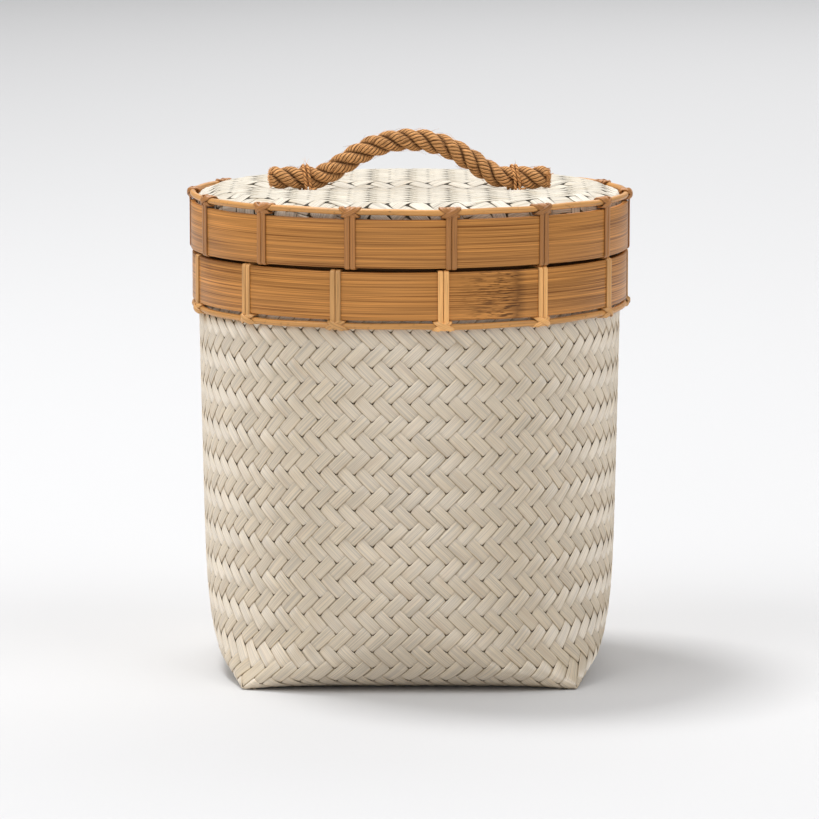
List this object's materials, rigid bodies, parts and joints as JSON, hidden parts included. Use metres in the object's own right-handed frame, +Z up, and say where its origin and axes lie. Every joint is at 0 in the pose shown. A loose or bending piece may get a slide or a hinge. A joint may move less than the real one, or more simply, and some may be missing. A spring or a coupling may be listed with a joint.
{
  "type": "woven lidded box",
  "caption": "Plaited box that rises from a square base to a round rim, with banded and lashed rims, a lift-off flat lid and an arched rope handle tied to the lid.",
  "frame": {"origin": "middle of the underside, on the surface that the box stands on", "axes": "+Z up, -Y towards the front, the rope handle runs along X"},
  "size_m": [0.2644, 0.2617, 0.3193],
  "materials": {
    "body_weave": "whitewashed plaited strips, matt",
    "lid_weave": "whitewashed plaited strips, matt, paler",
    "bamboo_band": "bent split bamboo, satin",
    "inner_bamboo": "bent split bamboo, inner face, matt",
    "rattan_hoop": "round rattan, satin",
    "rim_cane": "split cane, satin",
    "lid_cane": "split cane, satin, browner",
    "rope": "three-strand plant fibre rope",
    "twine": "plant fibre twine"
  },
  "bodies": {
    "basket": {"woven_body": "body_weave", "rim_outer_band": "bamboo_band", "rim_inner_band": "inner_bamboo", "lid_collar": "inner_bamboo", "rim_hoop": "rattan_hoop", "rim_lashing_01": "rim_cane", "rim_lashing_02": "rim_cane", "rim_lashing_03": "rim_cane", "rim_lashing_04": "rim_cane", "rim_lashing_05": "rim_cane", "rim_lashing_06": "rim_cane", "rim_lashing_07": "rim_cane", "rim_lashing_08": "rim_cane", "rim_lashing_09": "rim_cane", "rim_lashing_10": "rim_cane", "rim_lashing_11": "rim_cane", "rim_lashing_12": "rim_cane", "rim_lashing_13": "rim_cane"},
    "lid": {"woven_lid": "lid_weave", "lid_outer_band": "bamboo_band", "lid_inner_band": "inner_bamboo", "lid_hoop": "rattan_hoop", "lid_lashing_01": "lid_cane", "lid_lashing_02": "lid_cane", "lid_lashing_03": "lid_cane", "lid_lashing_04": "lid_cane", "lid_lashing_05": "lid_cane", "lid_lashing_06": "lid_cane", "lid_lashing_07": "lid_cane", "lid_lashing_08": "lid_cane", "lid_lashing_09": "lid_cane", "lid_lashing_10": "lid_cane", "lid_lashing_11": "lid_cane", "lid_lashing_12": "lid_cane", "lid_lashing_13": "lid_cane", "lid_lashing_14": "lid_cane", "handle_tie_left": "twine", "handle_tie_right": "twine"},
    "handle": {"rope_handle": "rope"}
  },
  "joints": [
    {"name": "lid_lift", "type": "slide", "parent": "basket", "child": "lid", "axis": [0, 0, 1], "range_m": [0, 0.12]},
    {"name": "handle_tilt", "type": "hinge", "parent": "lid", "child": "handle", "pos_m": [0, 0, 0.29035], "axis": [1, 0, 0], "range_deg": [-80, 80]}
  ]
}
